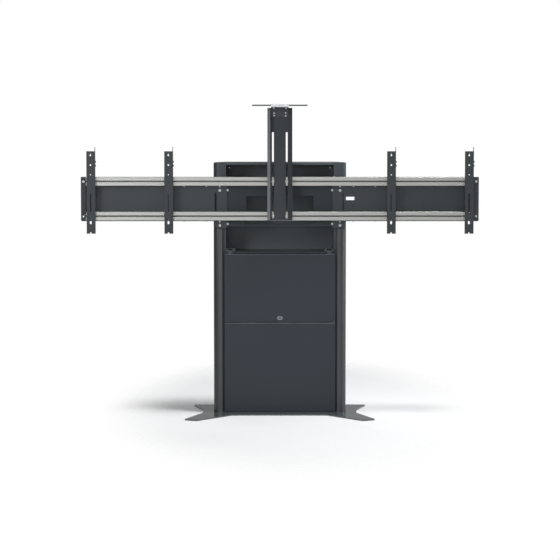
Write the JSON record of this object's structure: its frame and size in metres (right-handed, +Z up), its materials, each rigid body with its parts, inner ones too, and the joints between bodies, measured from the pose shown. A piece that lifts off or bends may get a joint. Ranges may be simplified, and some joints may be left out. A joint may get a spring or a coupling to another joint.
{
  "type": "motorised floor stand lift for two displays",
  "caption": "Motorised column lift on a floor plate, with a cabinet between the columns, horizontal display rails with hanging strips, and a camera shelf on a post.",
  "frame": {"origin": "on the floor, at the centre of the floor plate's footprint", "axes": "+X to the right along the rails as seen from the front, +Y to the rear, +Z up; the displays face -Y"},
  "size_m": [2.048, 0.6077, 1.603],
  "materials": {
    "floor_plate_coat": "satin grey powder coat",
    "dark_coat": "fine-textured charcoal powder coat",
    "anodised_rail": "clear anodised, satin",
    "drawn_steel": "drawn, lightly greased",
    "zinc_screws": "zinc plated",
    "black_plastic": "moulded",
    "charcoal_plastic": "moulded, near the columns' colour",
    "bronze": "machined",
    "polished_zinc": "polished die cast",
    "grey_duct": "satin",
    "light_block": "natural",
    "dark_steel_fixings": "dark zinc"
  },
  "bodies": {
    "cabinet": {"floor_plate": "floor_plate_coat", "column_foot_blocks": "drawn_steel", "foot_screws": "zinc_screws", "left_column": "dark_coat", "right_column": "dark_coat", "column_collars": "charcoal_plastic", "left_drive": "black_plastic", "right_drive": "black_plastic", "base_beam": "dark_coat", "back_panel": "dark_coat", "niche_shelf": "dark_coat", "lower_panel": "dark_coat", "lock_beam": "dark_coat", "equipment_shelf": "dark_coat", "control_box": "black_plastic", "mains_inlet": "black_plastic", "hinge_blocks": "dark_coat", "hinge_pins": "drawn_steel", "panel_screws": "zinc_screws"},
    "head": {"left_lift_tube": "drawn_steel", "right_lift_tube": "drawn_steel", "tube_guide_shoes": "black_plastic", "spindle_nuts": "bronze", "head_clamp_blocks": "drawn_steel", "left_head_column": "dark_coat", "right_head_column": "dark_coat", "head_caps": "dark_coat", "head_top_cover": "dark_coat", "head_back_panel": "dark_coat", "carriage_plate": "dark_coat", "left_bracket": "dark_coat", "right_bracket": "dark_coat", "upper_rail": "anodised_rail", "lower_rail": "anodised_rail", "left_tray": "dark_coat", "right_tray": "dark_coat", "left_end_plate": "dark_coat", "right_end_plate": "dark_coat", "head_bolts": "zinc_screws", "post_clamp_bolts": "zinc_screws"},
    "flap": {"flap_door": "dark_coat", "flap_hinge_arms": "dark_coat", "lock_body": "polished_zinc"},
    "lock_core": {"lock_barrel": "black_plastic", "lock_cam": "drawn_steel"},
    "left_screw": {"left_spindle": "drawn_steel"},
    "right_screw": {"right_spindle": "drawn_steel"},
    "camera_mast": {"camera_post": "dark_coat", "post_cable_duct": "grey_duct", "shelf_bracket": "dark_coat", "shelf_block": "light_block", "camera_shelf": "dark_coat"},
    "display_strip_1": {"strip_1": "dark_coat", "strip_1_fixings": "dark_steel_fixings"},
    "display_strip_2": {"strip_2": "dark_coat", "strip_2_fixings": "dark_steel_fixings"},
    "display_strip_3": {"strip_3": "dark_coat", "strip_3_fixings": "dark_steel_fixings"},
    "display_strip_4": {"strip_4": "dark_coat", "strip_4_fixings": "dark_steel_fixings"}
  },
  "joints": [
    {"name": "lift", "type": "slide", "parent": "cabinet", "child": "head", "axis": [0, 0, 1], "range_m": [0, 0.5]},
    {"name": "left_screw_turn", "type": "hinge", "parent": "cabinet", "child": "left_screw", "pos_m": [-0.3105, 0.079, 0.0863], "axis": [0, 0, 1], "range_deg": [0, 22500]},
    {"name": "right_screw_turn", "type": "hinge", "parent": "cabinet", "child": "right_screw", "pos_m": [0.3105, 0.079, 0.0863], "axis": [0, 0, 1], "range_deg": [0, 22500]},
    {"name": "flap_hinge", "type": "hinge", "parent": "cabinet", "child": "flap", "pos_m": [0, 0.018, 0.845], "axis": [-1, 0, 0], "range_deg": [0, 90]},
    {"name": "lock_turn", "type": "hinge", "parent": "flap", "child": "lock_core", "pos_m": [0, 0.005, 0.496], "axis": [0, 1, 0], "range_deg": [0, 90]},
    {"name": "camera_height", "type": "slide", "parent": "head", "child": "camera_mast", "axis": [0, 0, 1], "range_m": [-0.14, 0.008]},
    {"name": "strip_1_slide", "type": "slide", "parent": "head", "child": "display_strip_1", "axis": [1, 0, 0], "range_m": [0, 0.2]},
    {"name": "strip_2_slide", "type": "slide", "parent": "head", "child": "display_strip_2", "axis": [1, 0, 0], "range_m": [-0.15, 0.15]},
    {"name": "strip_3_slide", "type": "slide", "parent": "head", "child": "display_strip_3", "axis": [1, 0, 0], "range_m": [-0.15, 0.15]},
    {"name": "strip_4_slide", "type": "slide", "parent": "head", "child": "display_strip_4", "axis": [1, 0, 0], "range_m": [-0.2, 0]}
  ],
  "couplings": [
    {"joint": "left_screw_turn", "follows": "lift", "rad_per_m": 785.4},
    {"joint": "right_screw_turn", "follows": "lift", "rad_per_m": 785.4}
  ]
}
